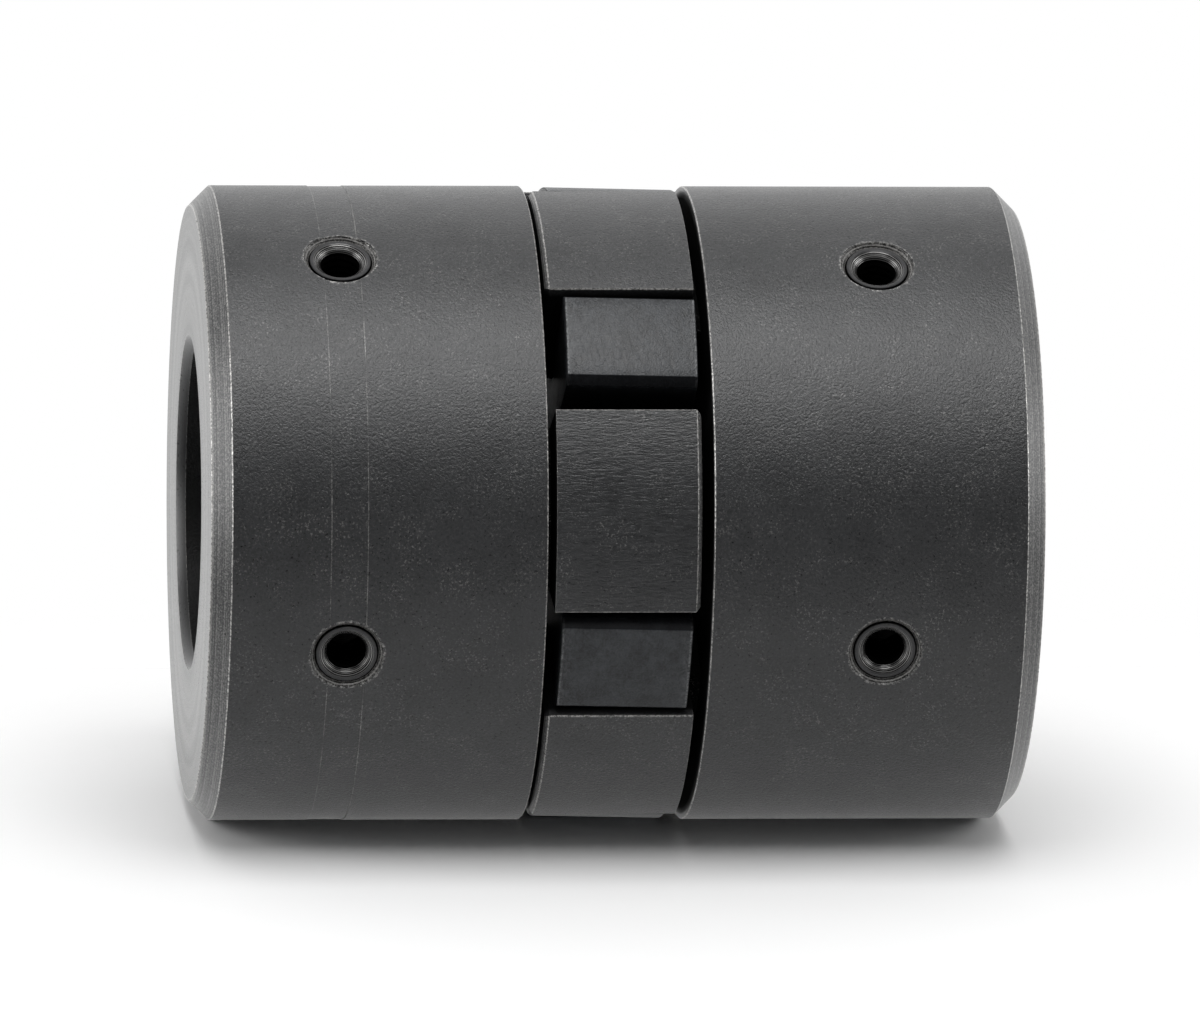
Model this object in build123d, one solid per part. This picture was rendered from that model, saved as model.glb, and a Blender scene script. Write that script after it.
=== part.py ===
from build123d import *
import os
from math import cos, radians, sin, sqrt, tan

# Three-jaw shaft coupling standing on the end face of its lower hub.
# The axis is +Z and the origin is the centre of the lower end face. Sizes are in mm.
# An angle about the axis is counted from the -Y side, positive towards -X.

# Both hubs
outside_diameter = 63.5
bore_diameter = 31.75
hub_length = 33.05
hub_spacing = 16.4
end_chamfer = 2.0
bore_chamfer = 0.9
edge_break = 0.12

# Jaws
jaw_count = 3
jaw_angle = 36.8
jaw_inner_diameter = 37.0
tip_gap_over_lower_jaws = 1.2
tip_gap_under_upper_jaws = 0.45
tip_chamfer = 0.45
jaw_edge = 0.12

# Groove turned at the root of the jaws, where the cutter that makes the pockets runs out
relief_diameter = 51.0
lower_relief_width = 0.85
upper_relief_width = 1.25

# Twist of the lower hub, which closes three of the six pockets on their legs
load_twist = 1.6

# Shallow band turned round the lower hub, over its set screws
band_width = 3.6
band_depth = 0.07

# Rubber spider
spider_thickness = 13.0
spider_bore_diameter = 25.0
ring_clearance = 0.3
leg_tip_inset = 0.25
leg_angle = 20.0
leg_clearance = 0.15
leg_shoulder = 0.85
leg_root_radius = 0.5
leg_root_depth = 1.0
spider_edge = 0.1
spider_gap_below = 1.85
spider_tilt = 1.1

# Set screws, with a hex socket and a cup point, and their holes
screw_diameter = 6.35
screw_length = 12.7
screw_hole_clearance = 0.05
screw_recess = 0.45
screw_face_diameter = 5.9
hole_mouth_diameter = 7.3
socket_flats = 3.175
socket_depth = 3.2
socket_mouth_diameter = 4.4
socket_mouth_depth = 0.5
cup_outer_diameter = 3.4
cup_depth = 0.8
lower_screw_height = 13.5
upper_screw_height = 15.7
lower_screw_angles = (49.8, -28.4)
upper_screw_angles = (48.0, -27.8)

# Sizes that follow
radius = outside_diameter / 2
overall_length = 2 * hub_length + hub_spacing
front = -90
jaw_pitch = 360 / jaw_count
leg_pitch = jaw_pitch / 2
lower_jaw_length = hub_spacing - tip_gap_over_lower_jaws
upper_jaw_length = hub_spacing - tip_gap_under_upper_jaws
tight_pocket_angle = leg_pitch - jaw_angle - load_twist
leg_offset = leg_pitch - jaw_angle / 2 - leg_angle / 2
spider_ring_radius = jaw_inner_diameter / 2 - ring_clearance
same_place = 0.01


def azimuth(angle):
    """Angle from +X of a direction given by its angle from the -Y side."""
    return front - angle


def screw_place(height, angle):
    """Plane at the axis, at a height, whose normal points out at an angle."""
    heading = radians(azimuth(angle))
    return Plane(origin=(0, 0, height), z_dir=(cos(heading), sin(heading), 0))


def turned_body(band_height):
    """Hub blank as turned: chamfers, the bore and, where a height is given, the band."""
    half_bore = bore_diameter / 2
    outline = [
        (half_bore + bore_chamfer, 0),
        (radius - end_chamfer, 0),
        (radius, end_chamfer),
    ]
    if band_height:
        low = band_height - band_width / 2
        high = band_height + band_width / 2
        outline += [
            (radius, low),
            (radius - band_depth, low),
            (radius - band_depth, high),
            (radius, high),
        ]
    outline += [
        (radius, hub_length - edge_break),
        (radius - edge_break, hub_length),
        (half_bore, hub_length),
        (half_bore, bore_chamfer),
    ]
    section = Plane.XZ * Polygon(*outline, align=None)
    return revolve(section, Axis.Z)


def jaw(length, relief_width, angle):
    """One jaw: a ring sector with radial flanks, broken edges and a grooved root."""
    ring = Circle(radius) - Circle(jaw_inner_diameter / 2)
    reach = 2 * radius
    half = radians(jaw_angle / 2)
    corner_x = reach * cos(half)
    corner_y = reach * sin(half)
    wedge = Polygon((0, 0), (corner_x, -corner_y), (corner_x, corner_y), align=None)
    block = extrude(ring & wedge, length)
    block = chamfer(block.edges().group_by(Axis.Z)[-1], tip_chamfer)
    block = chamfer(block.edges().filter_by(Axis.Z), jaw_edge)
    groove_ring = Circle(radius + jaw_edge) - Circle(relief_diameter / 2)
    block -= extrude(groove_ring, relief_width)
    return Pos(0, 0, hub_length) * Rot(0, 0, azimuth(angle)) * block


def screw_hole(height, angle):
    """Cutter for one tapped hole, from the bore out to its countersunk mouth."""
    hole_radius = screw_diameter / 2
    mouth_radius = hole_mouth_diameter / 2
    mouth_depth = mouth_radius - hole_radius
    drop = radius - sqrt(radius**2 - mouth_radius**2)
    crest = radius - drop
    outline = [
        (0, 0),
        (hole_radius, 0),
        (hole_radius, crest - mouth_depth),
        (mouth_radius, crest),
        (mouth_radius, radius + mouth_depth),
        (0, radius + mouth_depth),
    ]
    section = Plane.XZ * Polygon(*outline, align=None)
    return screw_place(height, angle) * revolve(section, Axis.Z)


def hub(jaw_length, relief_width, first_jaw, screw_height, screw_angles, banded):
    """A hub standing on its end face, with the jaws on top."""
    body = turned_body(screw_height if banded else None)
    for index in range(jaw_count):
        body += jaw(jaw_length, relief_width, first_jaw + index * jaw_pitch)
    for angle in screw_angles:
        body -= screw_hole(screw_height, angle)
    return body.solid()


def spider_leg():
    """Outline of one leg along +X, its flank on the -Y side close to an upper jaw.

    The other flank widens inwards, until its root is close to a lower jaw.
    """
    tip_radius = radius - leg_tip_inset
    half_tip = radians(leg_angle / 2)
    half_root = radians(tight_pocket_angle - leg_angle / 2)
    root_x = spider_ring_radius - leg_root_depth
    tip_x = tip_radius * cos(half_tip)
    inset = leg_clearance / cos(half_tip)
    root_below = root_x * tan(half_tip) - inset
    root_above = root_x * tan(half_root) - inset
    tip_y = tip_x * tan(half_tip) - inset
    flanks = Polyline((tip_x, -tip_y), (root_x, -root_below), (root_x, root_above), (tip_x, tip_y))
    tip = ThreePointArc((tip_x, tip_y), (tip_radius, 0), (tip_x, -tip_y))
    leg = make_face(flanks + tip)
    shoulders = leg.vertices().group_by(Axis.X)[-1]
    return chamfer(shoulders, leg_shoulder)


def on_ring(corner):
    """Whether a corner of the spider's outline is where a leg meets the ring."""
    distance = sqrt(corner.X**2 + corner.Y**2)
    return abs(distance - spider_ring_radius) < same_place


def spider():
    """Rubber insert: a ring with a leg in each pocket between two jaws."""
    outline = Circle(spider_ring_radius)
    leg = spider_leg()
    for index in range(jaw_count):
        middle = index * jaw_pitch
        outline += Rot(0, 0, azimuth(middle + leg_offset)) * leg
        outline += Rot(0, 0, azimuth(middle - leg_offset)) * mirror(leg, about=Plane.XZ)
    roots = [corner for corner in outline.vertices() if on_ring(corner)]
    outline = fillet(roots, leg_root_radius)
    block = extrude(outline, spider_thickness)
    rims = block.edges().group_by(Axis.Z)
    block = chamfer(rims[0] + rims[-1], spider_edge)
    block -= extrude(Circle(spider_bore_diameter / 2), spider_thickness)
    half_thickness = spider_thickness / 2
    centred = Pos(0, 0, -half_thickness) * block.solid()
    return Pos(0, 0, hub_length + spider_gap_below + half_thickness) * Rot(0, spider_tilt, 0) * centred


def set_screw(height, angle):
    """One socket set screw, its face just under the surface of the hub."""
    shank_radius = screw_diameter / 2 - screw_hole_clearance
    face_radius = screw_face_diameter / 2
    face_chamfer = shank_radius - face_radius
    cup_radius = cup_outer_diameter / 2
    top = radius - screw_recess
    tip = top - screw_length
    mouth_radius = socket_mouth_diameter / 2
    outline = [
        (0, tip + cup_depth),
        (cup_radius - cup_depth, tip + cup_depth),
        (cup_radius, tip),
        (shank_radius, tip + shank_radius - cup_radius),
        (shank_radius, top - face_chamfer),
        (face_radius, top),
        (mouth_radius, top),
        (mouth_radius - socket_mouth_depth, top - socket_mouth_depth),
        (0, top - socket_mouth_depth),
    ]
    screw = revolve(Plane.XZ * Polygon(*outline, align=None), Axis.Z)
    socket = RegularPolygon(socket_flats / 2, 6, major_radius=False)
    screw -= Pos(0, 0, top - socket_depth) * extrude(socket, socket_depth)
    return screw_place(height, angle) * screw.solid()


def standing_on_top(shape):
    """Turn a hub piece upside down onto the other end, keeping its angles."""
    return mirror(shape, about=Plane.XY).moved(Location((0, 0, overall_length)))


lower_hub = hub(
    lower_jaw_length, lower_relief_width, -load_twist,
    lower_screw_height, lower_screw_angles, banded=True,
)
upper_hub = standing_on_top(hub(
    upper_jaw_length, upper_relief_width, leg_pitch,
    upper_screw_height, upper_screw_angles, banded=False,
))

nodes = {
    "lower_hub": lower_hub,
    "upper_hub": upper_hub,
    "spider": spider(),
}
for letter, angle in zip("ab", lower_screw_angles):
    nodes[f"lower_set_screw_{letter}"] = set_screw(lower_screw_height, angle)
for letter, angle in zip("ab", upper_screw_angles):
    nodes[f"upper_set_screw_{letter}"] = standing_on_top(set_screw(upper_screw_height, angle))

os.makedirs("parts", exist_ok=True)
for name, solid in nodes.items():
    export_step(solid, f"parts/{name}.step")
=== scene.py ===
import math

import bmesh
import bpy
from mathutils import Matrix, Vector


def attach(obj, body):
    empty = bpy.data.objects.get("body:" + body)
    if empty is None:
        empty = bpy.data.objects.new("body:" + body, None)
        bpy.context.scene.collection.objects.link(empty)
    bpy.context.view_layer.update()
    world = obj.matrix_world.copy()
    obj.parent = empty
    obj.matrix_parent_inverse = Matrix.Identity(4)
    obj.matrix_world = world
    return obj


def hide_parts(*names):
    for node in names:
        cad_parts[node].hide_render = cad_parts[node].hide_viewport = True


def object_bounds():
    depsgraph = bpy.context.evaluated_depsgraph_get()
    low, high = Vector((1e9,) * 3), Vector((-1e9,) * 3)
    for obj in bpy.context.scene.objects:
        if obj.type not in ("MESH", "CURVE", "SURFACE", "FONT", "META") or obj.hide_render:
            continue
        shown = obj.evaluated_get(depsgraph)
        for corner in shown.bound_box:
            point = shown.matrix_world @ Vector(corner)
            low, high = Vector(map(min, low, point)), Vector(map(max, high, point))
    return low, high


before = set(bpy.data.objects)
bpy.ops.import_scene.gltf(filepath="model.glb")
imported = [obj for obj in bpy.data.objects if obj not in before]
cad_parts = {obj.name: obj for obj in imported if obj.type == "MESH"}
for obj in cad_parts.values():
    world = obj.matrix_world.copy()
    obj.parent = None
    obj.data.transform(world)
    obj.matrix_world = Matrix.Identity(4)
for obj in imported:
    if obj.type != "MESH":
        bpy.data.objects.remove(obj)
cad_low, cad_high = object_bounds()

MM = 0.001

# The coupling stands on its end. The photograph shows it lying, so the camera is rolled
# a quarter turn: right in the picture is +Z here, and up in the picture is -X.
LENGTH = cad_high.z - cad_low.z
RADIUS = (cad_high.x - cad_low.x) / 2
MIDDLE = (cad_low + cad_high) / 2
ALONG = Vector((0, 0, 1))
PICTURE_UP = Vector((-1, 0, 0))
TO_CAMERA = Vector((0, -1, 0))

# Camera, fitted to the outline in the photograph, with the picture 1200 pixels wide
PICTURE_WIDTH = 1200
CAMERA_DISTANCE = 1500 * MM
CAMERA_YAW = math.radians(5.9)
CAMERA_FOCAL_PIXELS = 14952
MIDDLE_RIGHT_OF_CENTRE = -1.3
MIDDLE_ABOVE_CENTRE = 6.5
SENSOR_WIDTH = 36

# Floor of the photograph, on which the coupling lies, seen from a little above. It fades
# out over these distances in m, counted from the line on which the coupling touches it.
CAMERA_RISE = math.radians(12.5)
FLOOR_REACH = 0.15
FADE_BEHIND = (0.01, 0.09)
FADE_BEFORE = (-0.08, -0.14)
FADE_BESIDE = (0.064, 0.11)
FLOOR_CLEAR_TO_LIGHT = 0.4

# Floor under the standing coupling, in m, and the share of its look that is its own glow
STANDING_REACH = 0.45
STANDING_FADE = (0.08, 0.4)
STANDING_GAP = 0.03 * MM
STANDING_GLOW = 0.6

# Lamps, in m, and the light of the room before and behind the coupling
SOFTBOX_DISTANCE = 0.9
SOFTBOX_HEIGHT = 0.6
ROOM_BEFORE = 0.13
ROOM_BEHIND = 1.0

# Places on the hubs, in mm
OUTSIDE_RADIUS = RADIUS / MM
TOP = LENGTH / MM
BORE_RADIUS = 15.875
LOWER_FACE = 33.05
UPPER_FACE = 49.45
BAND_MIDDLE = 13.5
BAND_HALF_WIDTH = 1.8
END_CHAMFER = 2.0
HOLE_RADIUS = 3.175
HOLE_MOUTH_RADIUS = 3.65

# The spider, in mm, and how far it leans towards +X
SPIDER_MIDDLE = 41.4
SPIDER_HALF_THICKNESS = 6.5
SPIDER_SOFT_EDGE = 0.12
SPIDER_TILT = math.radians(1.1)

# Set screws, in mm. Each has a height and an angle from the front, positive towards -X.
SCREW_LENGTH = 12.7
SCREW_RADIUS = 3.1
SCREW_CORE_RADIUS = 2.76
SCREW_FACE_RADIUS = 2.99
SCREW_RECESS = 0.45
SCREW_SEGMENTS = 96
SOCKET_MOUTH_RADIUS = 2.68
SOCKET_FUNNEL_DEPTH = 0.63
SOCKET_WALL_RADIUS = 1.97
SOCKET_RIDGE = 0.13
SOCKET_RIDGES = 5
SOCKET_RIDGE_PITCH = 0.8
SOCKET_APOTHEM = 1.5875
SOCKET_DEPTH = 5.2
THREAD_PITCH = 0.907
THREAD_TURNS = 11
THREAD_RIDGE = 0.3
THREAD_START = 1.45
THREAD_SEGMENTS = 72
SCREWS = {
    "lower_set_screw_a": (13.5, 49.8),
    "lower_set_screw_b": (13.5, -28.4),
    "upper_set_screw_a": (66.8, 48.0),
    "upper_set_screw_b": (66.8, -27.8),
}
FAR_AWAY = 1000.0


def grey(level):
    return level, level, level, 1


# Colours of the finishes. Where there are two, noise runs from the first to the second.
OXIDE = ((0.017, 0.0175, 0.0185, 1), (0.044, 0.045, 0.047, 1))
END_FACE_STEEL = ((0.04, 0.04, 0.039, 1), (0.24, 0.24, 0.233, 1))
SCRAPED_STEEL = (grey(0.002), (0.2, 0.195, 0.19, 1))
BRIGHT_STEEL = (0.58, 0.57, 0.55, 1)
SCREW_OXIDE = ((0.02, 0.02, 0.021, 1), (0.05, 0.05, 0.052, 1))
SCREW_RINGS = (grey(0.006), (0.36, 0.356, 0.35, 1))
SCREW_EDGE = (0.4, 0.39, 0.37, 1)
RUBBER = ((0.009, 0.01, 0.0115, 1), (0.042, 0.046, 0.051, 1))
RUBBER_DUST = (0.25, 0.255, 0.26, 1)
RUBBER_SHADED = (0.006, 0.006, 0.007, 1)


def screw_direction(angle):
    """The way out of the hub along the axis of a screw."""
    heading = math.radians(-90 - angle)
    return Vector((math.cos(heading), math.sin(heading), 0))


class Nodes:
    """Short calls for building a node tree."""

    def __init__(self, tree):
        self.tree = tree

    def add(self, kind, inputs=None, **settings):
        node = self.tree.nodes.new(kind)
        for name, value in settings.items():
            setattr(node, name, value)
        for socket, value in (inputs or {}).items():
            self.set(node.inputs[socket], value)
        return node

    def set(self, socket, value):
        if isinstance(value, bpy.types.NodeSocket):
            self.tree.links.new(value, socket)
        else:
            socket.default_value = value

    def math(self, operation, *values):
        node = self.add("ShaderNodeMath", operation=operation)
        for socket, value in zip(node.inputs, values):
            self.set(socket, value)
        return node.outputs[0]

    def times(self, first, *others):
        for other in others:
            first = self.math("MULTIPLY", first, other)
        return first

    def largest(self, first, *others):
        for other in others:
            first = self.math("MAXIMUM", first, other)
        return first

    def total(self, first, *others):
        """The sum of pairs of a value and its share."""
        value = self.times(*first)
        for other in others:
            value = self.math("ADD", value, self.times(*other))
        return value

    def apart(self, value, place):
        """How far a value is from a place, on either side."""
        return self.math("ABSOLUTE", self.math("SUBTRACT", value, place))

    def blend(self, factor, first, second):
        """A number that goes from first to second as the factor goes from 0 to 1."""
        return self.math("ADD", first, self.times(factor, self.math("SUBTRACT", second, first)))

    def remap(self, value, low, high, to_low=0.0, to_high=1.0, smooth=False):
        node = self.add("ShaderNodeMapRange", {
            "Value": value, "From Min": low, "From Max": high, "To Min": to_low, "To Max": to_high,
        })
        if smooth:
            node.interpolation_type = "SMOOTHSTEP"
        return node.outputs[0]

    def vector(self, operation, *values):
        node = self.add("ShaderNodeVectorMath", operation=operation)
        for socket, value in zip(node.inputs, values):
            self.set(socket, value)
        single = operation in ("DOT_PRODUCT", "LENGTH", "DISTANCE")
        return node.outputs["Value" if single else "Vector"]

    def noise(self, vector, scale, detail=2.0, roughness=0.5, distortion=0.0):
        node = self.add("ShaderNodeTexNoise", {
            "Vector": vector, "Scale": scale, "Detail": detail, "Roughness": roughness,
            "Distortion": distortion,
        })
        return node.outputs["Fac"]

    def lines(self, value, scale, detail=2.0):
        """Noise that changes along one value only, as the lines left by turning do."""
        inputs = {"W": value, "Scale": scale, "Detail": detail}
        return self.add("ShaderNodeTexNoise", inputs, noise_dimensions="1D").outputs["Fac"]

    def mix(self, factor, first, second):
        """A colour between two. Sockets 6 and 7 of the node take colours, as output 2 does."""
        inputs = {"Factor": factor, 6: first, 7: second}
        return self.add("ShaderNodeMix", inputs, data_type="RGBA").outputs[2]

    def shade(self, value, low, high, colours):
        """The first colour where a value is low and the second where it is high."""
        return self.mix(self.remap(value, low, high), *colours)

    def point(self):
        """The point on the object, in mm."""
        point = self.add("ShaderNodeTexCoord").outputs["Object"]
        return self.vector("MULTIPLY", point, (1 / MM, 1 / MM, 1 / MM))

    def normal(self):
        """The direction of the face, not smoothed."""
        return self.add("ShaderNodeNewGeometry").outputs["True Normal"]

    def camera_ray(self):
        """1 for what the camera sees directly, 0 for every other ray."""
        return self.add("ShaderNodeLightPath").outputs["Is Camera Ray"]

    def edge(self, width, low, high):
        """How near a point is to an edge, from 0 on a face to 1 on the edge."""
        bevel = self.add("ShaderNodeBevel", {"Radius": width * MM}, samples=6).outputs[0]
        return self.remap(self.vector("DOT_PRODUCT", bevel, self.normal()), low, high)

    def round_axis(self, point):
        """How far a point is from the coupling's axis, and how much its face looks outwards."""
        flat = self.vector("MULTIPLY", point, (1, 1, 0))
        away = self.vector("NORMALIZE", flat)
        return self.vector("LENGTH", flat), self.vector("DOT_PRODUCT", away, self.normal())

    def screw_axis(self, point):
        """How far a point is from the nearest screw's axis, and how far out along it."""
        distance, out_along = FAR_AWAY, 0.0
        for height, angle in SCREWS.values():
            out = tuple(screw_direction(angle))
            reach = self.math("MAXIMUM", self.vector("DOT_PRODUCT", point, out), 0.0)
            on_axis = self.vector("MULTIPLY_ADD", reach, out, (0, 0, height))
            distance = self.math("MINIMUM", self.vector("DISTANCE", point, on_axis), distance)
            out_along = self.math("MAXIMUM", reach, out_along)
        return distance, out_along


def new_material(name):
    material = bpy.data.materials.new(name)
    material.use_nodes = True
    material.node_tree.nodes.clear()
    return material, Nodes(material.node_tree)


def finish_material(material, nodes, shader):
    out = nodes.add("ShaderNodeOutputMaterial")
    material.node_tree.links.new(shader.outputs[0], out.inputs[0])
    return material


def solid_material(material, nodes, relief, strength, depth, inputs):
    """Ends a material in one principled shader, over relief of a depth in mm."""
    bump = nodes.add("ShaderNodeBump", {
        "Strength": strength, "Distance": depth * MM, "Height": relief,
    })
    shader = nodes.add("ShaderNodeBsdfPrincipled", inputs | {"Normal": bump.outputs[0]})
    return finish_material(material, nodes, shader)


def blackened_steel(name, banded):
    """Turned steel with a black oxide finish, worn bright at its outer edges.

    The banded hub has a turned band over its screws and milled streaks on its jaws.
    """
    material, nodes = new_material(name)
    point = nodes.point()
    height = nodes.add("ShaderNodeSeparateXYZ", {0: point}).outputs["Z"]
    radial, outward = nodes.round_axis(point)
    along = nodes.math("ABSOLUTE", nodes.vector("DOT_PRODUCT", nodes.normal(), tuple(ALONG)))
    from_screw, _ = nodes.screw_axis(point)

    # Masks of the places that differ: jaws, pockets between them, bore, faces and holes
    on_jaws = nodes.times(
        nodes.remap(height, LOWER_FACE - 0.06, LOWER_FACE - 0.01),
        nodes.remap(height, UPPER_FACE + 0.06, UPPER_FACE + 0.01))
    pocket = nodes.times(
        nodes.remap(radial, OUTSIDE_RADIUS - 0.4, OUTSIDE_RADIUS - 1.2), on_jaws)
    out_of_pocket = nodes.remap(pocket, 0, 0.6, 1, 0.02)
    inside = nodes.remap(radial, BORE_RADIUS + 0.975, BORE_RADIUS + 0.175)
    turned_face = nodes.remap(along, 0.3, 0.6)
    end_face = nodes.largest(
        nodes.remap(height, 0.3, 0.05), nodes.remap(height, TOP - 0.3, TOP - 0.05))
    chamfer = nodes.times(nodes.remap(outward, 0.9, 0.8), nodes.remap(outward, 0.4, 0.6))
    beyond_hole = nodes.remap(from_screw, HOLE_MOUTH_RADIUS + 0.05, HOLE_MOUTH_RADIUS + 0.2)
    in_hole = nodes.remap(from_screw, HOLE_MOUTH_RADIUS, HOLE_MOUTH_RADIUS - 0.04)
    down_hole = nodes.remap(from_screw, HOLE_RADIUS + 0.05, HOLE_RADIUS + 0.01)

    # Grain of the finish, from fine to wide, and the lines from turning
    grain = nodes.noise(point, 3.6, 2, 0.62)
    fine = nodes.noise(point, 9, 2, 0.6)
    ragged = nodes.noise(point, 3.6, 3, 0.75)
    wide = nodes.noise(point, 0.3, 3, 0.6)
    cloud = nodes.noise(point, 0.16, 3, 0.55)
    turned = nodes.lines(radial, 6, 3)
    if banded:
        stretched = nodes.vector("MULTIPLY", point, (1, 1, 0.22))
        grain = nodes.blend(on_jaws, grain, nodes.noise(stretched, 4.2, 2, 0.6, 0.5))

    # Bright wear: the small broken edges round the outside, the inner rim of the end
    # chamfers, and a hair's breadth of every edge
    broken = nodes.times(
        nodes.remap(radial, OUTSIDE_RADIUS - 0.17, OUTSIDE_RADIUS - 0.1),
        nodes.remap(outward, 0.97, 0.88))
    inner_rim = nodes.apart(radial, OUTSIDE_RADIUS - END_CHAMFER)
    edge = nodes.largest(
        broken,
        nodes.times(nodes.edge(0.11, 0.99, 0.85), 0.7),
        nodes.times(nodes.remap(inner_rim, 0.14, 0.05), end_face, 0.9))
    chips = nodes.remap(ragged, 0.42, 0.6, 0.08, 1)
    wear = nodes.times(edge, chips, out_of_pocket, beyond_hole)

    # The two lines of the band, bright in dots
    if banded:
        from_line = nodes.apart(nodes.apart(height, BAND_MIDDLE), BAND_HALF_WIDTH)
        patches = nodes.remap(wide, 0.42, 0.6, 0.15, 1)
        dots = nodes.times(nodes.remap(ragged, 0.42, 0.62, 0.1, 0.6), patches, beyond_hole)
        wear = nodes.times(wear, nodes.remap(from_line, 0.2, 0.4))
        wear = nodes.largest(wear, nodes.times(nodes.remap(from_line, 0.07, 0.02), dots))

    # Ragged bright lip round the holes, single specks where the finish has worn off, which
    # also stand as painted glints of the sparkle, and a comb of fine lines on the chamfers
    wander = nodes.math("SUBTRACT", nodes.noise(point, 1.7, 2), 0.5)
    lip = nodes.math("SUBTRACT", from_screw, HOLE_MOUTH_RADIUS + 0.03)
    lip = nodes.math("ABSOLUTE", nodes.math("ADD", lip, nodes.times(wander, 0.55)))
    lip = nodes.times(nodes.remap(lip, 0.16, 0.03), nodes.remap(ragged, 0.46, 0.64))
    worn_and_glint_patches = nodes.remap(wide, 0.44, 0.62, 0.15, 1)
    # Painted glints: these bright specks also stand for the sparkle of the grain in the highlight
    worn_flecks_and_glints = nodes.times(nodes.remap(nodes.noise(point, 4.6, 2, 0.7), 0.56, 0.7), worn_and_glint_patches)
    combed = nodes.total((turned, 0.3), (nodes.noise(point, 5.5, 3, 0.7), 0.7))
    combed = nodes.times(nodes.remap(combed, 0.46, 0.62), chamfer, out_of_pocket)
    wear = nodes.largest(
        wear,
        nodes.times(lip, 0.7),
        nodes.times(worn_flecks_and_glints, nodes.remap(outward, 0.6, 0.9), 0.25),
        nodes.times(combed, 0.3))

    # Oxide, barer on the end faces and scraped in the countersinks of the holes, with painted
    # shade: near black in the pockets between the jaws, in the bore and down the holes
    tone = nodes.total((grain, 0.5), (fine, 0.25), (cloud, 0.25))
    tone = nodes.blend(nodes.times(turned_face, 0.3), tone, turned)
    steel = nodes.shade(tone, 0.36, 0.64, OXIDE)
    broad = nodes.total((nodes.lines(radial, 0.32, 5), 0.7), (grain, 0.3))
    bare = nodes.shade(broad, 0.38, 0.62, END_FACE_STEEL)
    steel = nodes.mix(nodes.times(end_face, 0.6), steel, bare)
    # Painted shade: the pockets, the bore and the holes are made near black
    steel = nodes.mix(nodes.times(pocket, 0.85), steel, grey(0.004))
    steel = nodes.mix(nodes.times(inside, 0.8), steel, grey(0.01))
    scraped = nodes.total((nodes.lines(from_screw, 8), 0.6), (ragged, 0.4))
    steel = nodes.mix(in_hole, steel, nodes.shade(scraped, 0.47, 0.6, SCRAPED_STEEL))
    steel = nodes.mix(down_hole, steel, grey(0.001))

    roughness = nodes.remap(grain, 0.3, 0.7, 0.27, 0.36)
    roughness = nodes.blend(nodes.times(end_face, 0.8), roughness, 0.27)
    # Painted shade: no sheen in the pockets, the bore, the countersinks and down the holes
    painted_shade_no_sheen = nodes.largest(
        pocket, nodes.times(nodes.largest(inside, in_hole), 0.75), down_hole)
    relief = nodes.math("ADD", grain, nodes.times(fine, 0.4))
    faced = nodes.blend(0.3, nodes.times(relief, 0.3), nodes.times(turned, 0.1))
    return solid_material(
        material, nodes, nodes.blend(turned_face, relief, faced), strength=1.0, depth=0.07,
        inputs={
            "Base Color": nodes.mix(wear, steel, BRIGHT_STEEL),
            "Roughness": nodes.blend(pocket, roughness, 0.9),
            "IOR": 1.55,
            "Specular IOR Level": nodes.blend(painted_shade_no_sheen, 0.5, 0.02),
            "Metallic": nodes.times(wear, 0.7),
        })


def screw_steel(name):
    """Blackened alloy steel of the set screws, smooth on the face, with painted shade in the
    socket and down the side.
    """
    material, nodes = new_material(name)
    point = nodes.point()
    from_axis, out_along = nodes.screw_axis(point)
    depth = nodes.math("SUBTRACT", OUTSIDE_RADIUS - SCREW_RECESS, out_along)
    fine = nodes.noise(point, 6, 3, 0.6)
    cloud = nodes.noise(point, 1.2, 2)
    turned = nodes.lines(from_axis, 11, 2)

    # Masks of the socket's funnel, of the socket under it and of the side of the screw
    funnel = nodes.times(
        nodes.remap(from_axis, SOCKET_MOUTH_RADIUS + 0.02, SOCKET_MOUTH_RADIUS - 0.06),
        nodes.remap(depth, 0.02, 0.06))
    deep = nodes.remap(depth, SOCKET_FUNNEL_DEPTH - 0.04, SOCKET_FUNNEL_DEPTH + 0.06)
    very_deep = nodes.remap(depth, 2.4, 3.2)
    side = nodes.remap(from_axis, SCREW_FACE_RADIUS + 0.03, SCREW_FACE_RADIUS + 0.06)

    edge = nodes.times(nodes.edge(0.09, 0.99, 0.8), nodes.remap(fine, 0.42, 0.58), 0.3)
    tone = nodes.total((fine, 0.4), (cloud, 0.25), (turned, 0.35))
    steel = nodes.shade(tone, 0.38, 0.62, SCREW_OXIDE)
    steel = nodes.mix(funnel, steel, nodes.shade(turned, 0.46, 0.6, SCREW_RINGS))
    steel = nodes.mix(edge, steel, SCREW_EDGE)
    # Painted shade: the socket under the funnel and the side of the screw down the hole are made
    # black, with no sheen where they are deep
    black = nodes.times(nodes.largest(deep, side), 0.97)
    unlit = nodes.largest(nodes.times(deep, 0.75), very_deep, side)
    relief = nodes.math("ADD", fine, nodes.times(turned, funnel, 2.0))
    return solid_material(
        material, nodes, relief, strength=0.6, depth=0.01,
        inputs={
            "Base Color": nodes.mix(black, steel, grey(0.001)),
            "Roughness": nodes.blend(funnel, nodes.remap(fine, 0.3, 0.7, 0.3, 0.42), 0.24),
            "Metallic": nodes.largest(edge, nodes.times(funnel, 0.7)),
            "Specular IOR Level": nodes.blend(unlit, 0.5, 0.0),
        })


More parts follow.
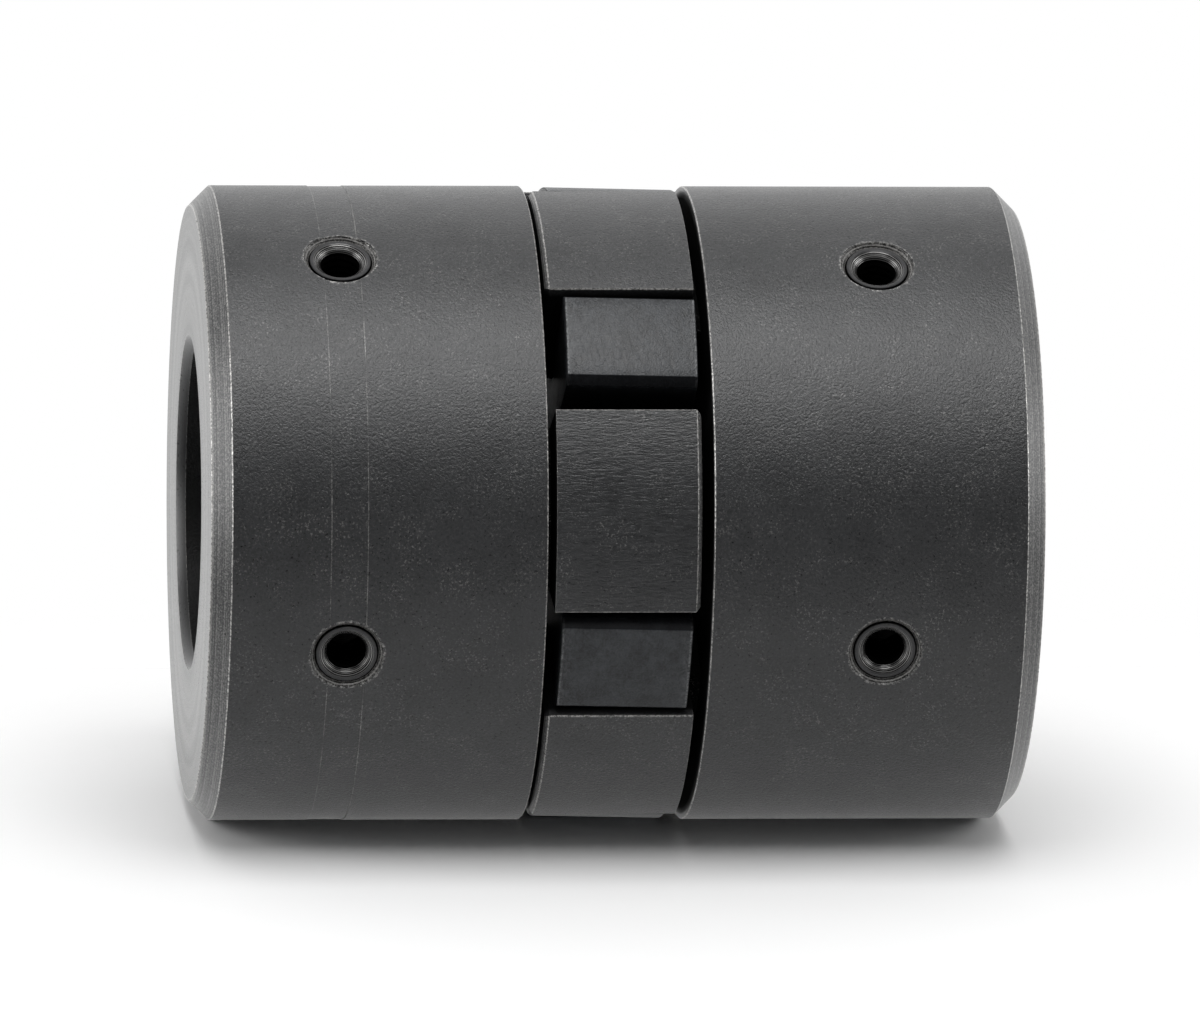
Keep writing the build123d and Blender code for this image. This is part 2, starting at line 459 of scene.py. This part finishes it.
def rubber(name):
    """Moulded black rubber with a satin skin, dusty along its edges."""
    material, nodes = new_material(name)
    point = nodes.point()
    radial, outward = nodes.round_axis(point)
    skin = nodes.noise(point, 5, 3, 0.6)
    cloud = nodes.noise(point, 0.5, 2)
    scuffs = nodes.noise(nodes.vector("MULTIPLY", point, (0.5, 1, 1)), 2.2, 4, 0.7, 0.8)

    # Dust along the edges and smears beside them, found from the spider's middle plane
    upright = (math.sin(SPIDER_TILT), 0, math.cos(SPIDER_TILT))
    from_middle = nodes.vector("SUBTRACT", point, (0, 0, SPIDER_MIDDLE))
    from_middle = nodes.math("ABSOLUTE", nodes.vector("DOT_PRODUCT", from_middle, upright))
    edge = nodes.times(
        nodes.remap(from_middle, SPIDER_HALF_THICKNESS - 0.34, SPIDER_HALF_THICKNESS - 0.22),
        nodes.remap(nodes.noise(point, 3.4, 3, 0.75), 0.44, 0.6),
        nodes.remap(outward, 0.2, 0.5))
    smear = nodes.times(
        nodes.remap(from_middle, SPIDER_HALF_THICKNESS - 1.3, SPIDER_HALF_THICKNESS - 0.1),
        nodes.remap(scuffs, 0.45, 0.6), 0.25,
        nodes.remap(outward, 0.9, 0.97))

    # Painted shade: darker on the shoulders of the legs' tips, in the shadow of the jaws, and
    # further in, with less sheen on the shoulders
    shoulder = nodes.times(nodes.remap(outward, 0.94, 0.86), nodes.remap(outward, 0.2, 0.4))
    inner = nodes.remap(radial, OUTSIDE_RADIUS - 1.6, OUTSIDE_RADIUS - 3)
    shaded = nodes.largest(nodes.times(inner, 0.6), nodes.times(shoulder, 0.8))

    tone = nodes.total((skin, 0.3), (cloud, 0.3), (scuffs, 0.4))
    colour = nodes.shade(tone, 0.4, 0.6, RUBBER)
    colour = nodes.mix(nodes.times(nodes.largest(edge, smear), 0.6), colour, RUBBER_DUST)
    relief = nodes.math("ADD", skin, nodes.times(scuffs, 2.0))
    return solid_material(
        material, nodes, relief, strength=1.0, depth=0.03,
        inputs={
            "Base Color": nodes.mix(shaded, colour, RUBBER_SHADED),
            "Roughness": nodes.remap(scuffs, 0.3, 0.7, 0.3, 0.44),
            "Specular IOR Level": nodes.blend(shoulder, 0.5, 0.06),
        })


def dress(mesh, material):
    """Puts a material on a mesh, as its only one."""
    mesh.materials.clear()
    mesh.materials.append(material)


def piece_from(name, mesh, material):
    dress(mesh, material)
    piece = bpy.data.objects.new(name, mesh)
    bpy.context.scene.collection.objects.link(piece)
    return piece


def plain_mesh(piece):
    """The piece with its modifiers made real and taken off."""
    bpy.context.view_layer.update()
    evaluated = piece.evaluated_get(bpy.context.evaluated_depsgraph_get())
    mesh = bpy.data.meshes.new_from_object(evaluated)
    piece.modifiers.clear()
    return mesh


def smooth_with_edges(mesh, degrees):
    """Smooths a mesh, with edges left sharp where they turn more than an angle."""
    mesh.shade_smooth()
    mesh.set_sharp_from_angle(angle=math.radians(degrees))


def rubber_spider():
    """The spider from its CAD solid, with the soft edges of a moulding."""
    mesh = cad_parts["spider"].data.copy()
    shape = bmesh.new()
    shape.from_mesh(mesh)
    bmesh.ops.remove_doubles(shape, verts=shape.verts, dist=0.002 * MM)
    bmesh.ops.dissolve_limit(
        shape, angle_limit=math.radians(0.5), verts=shape.verts, edges=shape.edges)
    shape.to_mesh(mesh)
    shape.free()
    piece = piece_from("spider_moulding", mesh, rubber("black rubber"))
    bevel = piece.modifiers.new("soft edges", "BEVEL")
    bevel.width = SPIDER_SOFT_EDGE * MM
    bevel.segments = 3
    bevel.limit_method = "ANGLE"
    bevel.angle_limit = math.radians(25)
    piece.data = plain_mesh(piece)
    smooth_with_edges(piece.data, 35)
    return piece


def ring_stack():
    """Node tree that stacks a count of sharp ring ridges along Z, for thread turns."""
    tree = bpy.data.node_groups.new("stacked ridges", "GeometryNodeTree")
    face = tree.interface
    face.new_socket("Geometry", in_out="INPUT", socket_type="NodeSocketGeometry")
    for name, kind, value in (
        ("Turns", "NodeSocketInt", THREAD_TURNS),
        ("Pitch", "NodeSocketFloat", THREAD_PITCH * MM),
        ("Radius", "NodeSocketFloat", SCREW_CORE_RADIUS * MM),
        ("Ridge", "NodeSocketFloat", THREAD_RIDGE * MM),
        ("Material", "NodeSocketMaterial", None),
    ):
        socket = face.new_socket(name, in_out="INPUT", socket_type=kind)
        if value is not None:
            socket.default_value = value
    face.new_socket("Geometry", in_out="OUTPUT", socket_type="NodeSocketGeometry")
    nodes = Nodes(tree)
    given = nodes.add("NodeGroupInput").outputs
    step = nodes.add("ShaderNodeCombineXYZ", {"Z": given["Pitch"]})
    line = nodes.add("GeometryNodeMeshLine", {
        "Count": given["Turns"], "Offset": step.outputs[0],
    }, mode="OFFSET")
    ring = nodes.add("GeometryNodeCurvePrimitiveCircle", {
        "Resolution": THREAD_SEGMENTS, "Radius": given["Radius"],
    })
    ridge = nodes.add("GeometryNodeCurvePrimitiveCircle", {
        "Resolution": 4, "Radius": given["Ridge"],
    })
    swept = nodes.add("GeometryNodeCurveToMesh", {
        "Curve": ring.outputs[0], "Profile Curve": ridge.outputs[0],
    })
    turns = nodes.add("GeometryNodeInstanceOnPoints", {
        "Points": line.outputs[0], "Instance": swept.outputs[0],
    })
    real = nodes.add("GeometryNodeRealizeInstances", {0: turns.outputs[0]})
    coated = nodes.add("GeometryNodeSetMaterial", {
        "Geometry": real.outputs[0], "Material": given["Material"],
    })
    out = nodes.add("NodeGroupOutput")
    tree.links.new(coated.outputs[0], out.inputs[0])
    return tree


def thread_mesh(material):
    """The thread turns of one set screw, from its tip upwards."""
    tree = ring_stack()
    carrier = piece_from("thread carrier", bpy.data.meshes.new("thread"), material)
    modifier = carrier.modifiers.new("thread", "NODES")
    modifier.node_group = tree
    values = {"Turns": THREAD_TURNS, "Pitch": THREAD_PITCH * MM, "Material": material}
    for socket in tree.interface.items_tree:
        if socket.in_out == "INPUT" and socket.name in values:
            modifier[socket.identifier] = values[socket.name]
    mesh = plain_mesh(carrier)
    bpy.data.objects.remove(carrier)
    return mesh


def add_ring(shape, radius_at, height, segments):
    """One level ring of corners, with a radius that may change with the turn."""
    ring = []
    for index in range(segments):
        turn = 2 * math.pi * index / segments
        reach = radius_at(turn) * MM
        ring.append(shape.verts.new((reach * math.cos(turn), reach * math.sin(turn), height * MM)))
    return ring


def hexagon(turn):
    """Radius of the socket's hexagon in the direction of a turn."""
    part = turn % (math.pi / 3) - math.pi / 6
    return SOCKET_APOTHEM / math.cos(part)


def screw_shape():
    """One set screw with its tip at z = 0: cup point, core, face and socket."""
    shape = bmesh.new()
    top = SCREW_LENGTH
    low = top - SOCKET_FUNNEL_DEPTH
    profile = [
        (0.9, 0.8),
        (1.7, 0),
        (SCREW_CORE_RADIUS, SCREW_CORE_RADIUS - 1.7),
        (SCREW_CORE_RADIUS, top - 0.55),
        (SCREW_RADIUS, top - 0.42),
        (SCREW_RADIUS, top - 0.16),
        (SCREW_FACE_RADIUS + 0.05, top - 0.06),
        (SCREW_FACE_RADIUS - 0.03, top),
        (SOCKET_MOUTH_RADIUS + 0.06, top),
        (SOCKET_MOUTH_RADIUS, top - 0.04),
        (SOCKET_MOUTH_RADIUS - 0.28, top - 0.2),
        (SOCKET_WALL_RADIUS + 0.13, low + 0.14),
        (SOCKET_WALL_RADIUS, low),
    ]
    for index in range(SOCKET_RIDGES):
        profile.append((SOCKET_WALL_RADIUS + 0.03, low - 0.4 * SOCKET_RIDGE_PITCH))
        profile.append((SOCKET_WALL_RADIUS - SOCKET_RIDGE, low - 0.85 * SOCKET_RIDGE_PITCH))
        low -= SOCKET_RIDGE_PITCH
    rings = [add_ring(shape, lambda turn: 0.0, 0.8, 1)]
    for radius, height in profile:
        rings.append(add_ring(shape, lambda turn, radius=radius: radius, height, SCREW_SEGMENTS))
    rings.append(add_ring(shape, hexagon, low - 0.05, SCREW_SEGMENTS))
    rings.append(add_ring(shape, hexagon, top - SOCKET_DEPTH, SCREW_SEGMENTS))
    rings.append(add_ring(shape, lambda turn: 0.0, top - SOCKET_DEPTH - 0.5, 1))
    for first, second in zip(rings, rings[1:]):
        for index in range(SCREW_SEGMENTS):
            following = (index + 1) % SCREW_SEGMENTS
            corners = [first[index % len(first)], second[index % len(second)],
                       second[following % len(second)], first[following % len(first)]]
            shape.faces.new(list(dict.fromkeys(corners)))
    bmesh.ops.recalc_face_normals(shape, faces=shape.faces)
    return shape


def set_screws(material):
    """The four set screws, each in the place of its CAD solid."""
    thread = thread_mesh(material)
    thread.transform(Matrix.Translation((0, 0, THREAD_START * MM)))
    for node, (height, angle) in SCREWS.items():
        out = screw_direction(angle)
        side = out.cross(ALONG)
        turn = Matrix((side, out.cross(side), out)).transposed().to_4x4()
        start = out * (OUTSIDE_RADIUS - SCREW_RECESS - SCREW_LENGTH) * MM + ALONG * height * MM
        shape = screw_shape()
        shape.from_mesh(thread)
        mesh = bpy.data.meshes.new(node)
        shape.to_mesh(mesh)
        shape.free()
        mesh.transform(Matrix.Translation(start) @ turn)
        smooth_with_edges(mesh, 30)
        piece = piece_from(node.replace("set_screw", "socket_screw"), mesh, material)
        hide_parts(node)
        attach(piece, "root")


def stage_sheet(name, middle, first, second, reach, material):
    """A flat square that is part of the stage, with its sides along two directions."""
    corners = [middle + (first * a + second * b) * reach
               for a, b in ((-1, -1), (1, -1), (1, 1), (-1, 1))]
    mesh = bpy.data.meshes.new(name)
    mesh.from_pydata([tuple(corner) for corner in corners], [], [(0, 1, 2, 3)])
    sheet = piece_from(name, mesh, material)
    return sheet


def fading_paper(material, nodes, paper, gone):
    """Ends a floor's material: clear where the factor is 1 and on the back of the sheet."""
    backfacing = nodes.add("ShaderNodeNewGeometry").outputs["Backfacing"]
    clear = nodes.add("ShaderNodeBsdfTransparent")
    shader = nodes.add("ShaderNodeMixShader", {
        0: nodes.largest(gone, backfacing), 1: paper.outputs[0], 2: clear.outputs[0],
    })
    finish_material(material, nodes, shader)


def photograph_floor():
    """Pale floor under the lying coupling: its near side only, fading to white behind."""
    up = Vector((-math.cos(CAMERA_RISE), -math.sin(CAMERA_RISE), 0))
    ahead = Vector((-math.sin(CAMERA_RISE), math.cos(CAMERA_RISE), 0))
    touch = Vector((0, 0, MIDDLE.z)) - up * RADIUS
    material, nodes = new_material("floor")
    point = nodes.add("ShaderNodeTexCoord").outputs["Object"]
    from_touch = nodes.vector("SUBTRACT", point, tuple(touch))
    back = nodes.vector("DOT_PRODUCT", from_touch, tuple(ahead))
    sideways = nodes.math("ABSOLUTE", nodes.vector("DOT_PRODUCT", from_touch, tuple(ALONG)))
    unseen = nodes.math("SUBTRACT", 1, nodes.camera_ray())
    gone = nodes.largest(
        nodes.remap(back, *FADE_BEHIND, smooth=True),
        nodes.remap(back, *FADE_BEFORE, smooth=True),
        nodes.remap(sideways, *FADE_BESIDE, smooth=True),
        nodes.times(unseen, FLOOR_CLEAR_TO_LIGHT))
    paper = nodes.add("ShaderNodeBsdfDiffuse", {"Color": grey(0.96)})
    fading_paper(material, nodes, paper, gone)
    sheet = stage_sheet("photograph_floor", touch, ALONG, ahead, FLOOR_REACH, material)
    if sheet.data.polygons[0].normal.dot(up) < 0:
        sheet.data.flip_normals()


def standing_floor():
    """Floor under the standing coupling, shown only to a camera above it."""
    material, nodes = new_material("standing floor")
    point = nodes.add("ShaderNodeTexCoord").outputs["Object"]
    gone = nodes.largest(
        nodes.remap(nodes.vector("LENGTH", point), *STANDING_FADE, smooth=True),
        nodes.math("SUBTRACT", 1, nodes.camera_ray()))
    paper = nodes.add("ShaderNodeBsdfDiffuse", {"Color": grey(0.8)})
    # Painted light: part of the floor's look is its own glow, so that it stays pale where the
    # lamps are blocked
    glow = nodes.add("ShaderNodeEmission", {"Color": grey(0.9), "Strength": 1.0})
    paper = nodes.add("ShaderNodeMixShader", {
        0: STANDING_GLOW, 1: paper.outputs[0], 2: glow.outputs[0],
    })
    fading_paper(material, nodes, paper, gone)
    stage_sheet(
        "standing_floor", Vector((0, 0, -STANDING_GAP)), Vector((1, 0, 0)), Vector((0, 1, 0)),
        STANDING_REACH, material)


def photograph_camera():
    """The camera of the photograph, turned a little to the lower hub's end face."""
    data = bpy.data.cameras.new("camera")
    data.sensor_width = SENSOR_WIDTH
    data.lens = CAMERA_FOCAL_PIXELS / PICTURE_WIDTH * SENSOR_WIDTH
    data.shift_x = -MIDDLE_RIGHT_OF_CENTRE / PICTURE_WIDTH
    data.shift_y = -MIDDLE_ABOVE_CENTRE / PICTURE_WIDTH
    data.clip_start = 0.05
    data.clip_end = 20
    camera = bpy.data.objects.new("camera", data)
    bpy.context.scene.collection.objects.link(camera)
    right = ALONG * math.cos(CAMERA_YAW) + TO_CAMERA * math.sin(CAMERA_YAW)
    back = TO_CAMERA * math.cos(CAMERA_YAW) - ALONG * math.sin(CAMERA_YAW)
    turn = Matrix((right, PICTURE_UP, back)).transposed().to_4x4()
    camera.matrix_world = Matrix.Translation(MIDDLE + back * CAMERA_DISTANCE) @ turn
    bpy.context.scene.camera = camera


def softbox(name, direction, width, radiance):
    """A rectangular lamp that faces the coupling, of an even brightness."""
    data = bpy.data.lights.new(name, "AREA")
    data.shape = "RECTANGLE"
    data.size = width
    data.size_y = SOFTBOX_HEIGHT
    data.energy = radiance * math.pi * width * SOFTBOX_HEIGHT
    light = bpy.data.objects.new(name, data)
    bpy.context.scene.collection.objects.link(light)
    direction = direction.normalized()
    light.location = MIDDLE + direction * SOFTBOX_DISTANCE
    light.rotation_mode = "QUATERNION"
    light.rotation_quaternion = direction.to_track_quat("Z", "Y")
    light.visible_camera = False


def white_room():
    """White to the camera. To the coupling it is bright behind and dim on the camera's side."""
    world = bpy.data.worlds.new("room")
    world.use_nodes = True
    world.node_tree.nodes.clear()
    bpy.context.scene.world = world
    nodes = Nodes(world.node_tree)
    direction = nodes.add("ShaderNodeTexCoord").outputs["Generated"]
    ahead = nodes.vector("DOT_PRODUCT", direction, tuple(-TO_CAMERA))
    level = nodes.remap(ahead, -0.35, 0.65, ROOM_BEFORE, ROOM_BEHIND, smooth=True)
    strength = nodes.blend(nodes.camera_ray(), level, 1.0)
    background = nodes.add("ShaderNodeBackground", {"Color": grey(1), "Strength": strength})
    out = nodes.add("ShaderNodeOutputWorld")
    world.node_tree.links.new(background.outputs[0], out.inputs[0])


bpy.context.scene.view_settings.view_transform = "Standard"

dress(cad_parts["lower_hub"].data, blackened_steel("banded blackened steel", banded=True))
dress(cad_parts["upper_hub"].data, blackened_steel("blackened steel", banded=False))

spider = rubber_spider()
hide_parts("spider")
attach(spider, "root")

set_screws(screw_steel("screw steel"))

photograph_floor()
standing_floor()
photograph_camera()
white_room()
softbox("top softbox", PICTURE_UP * 0.83 + TO_CAMERA * 0.56, 0.7, 4.5)
softbox("left softbox", ALONG * -1 + PICTURE_UP * 0.25 + TO_CAMERA * 0.15, 0.6, 3.2)
softbox("right softbox", ALONG + PICTURE_UP * 0.25 + TO_CAMERA * 0.15, 0.6, 2.6)
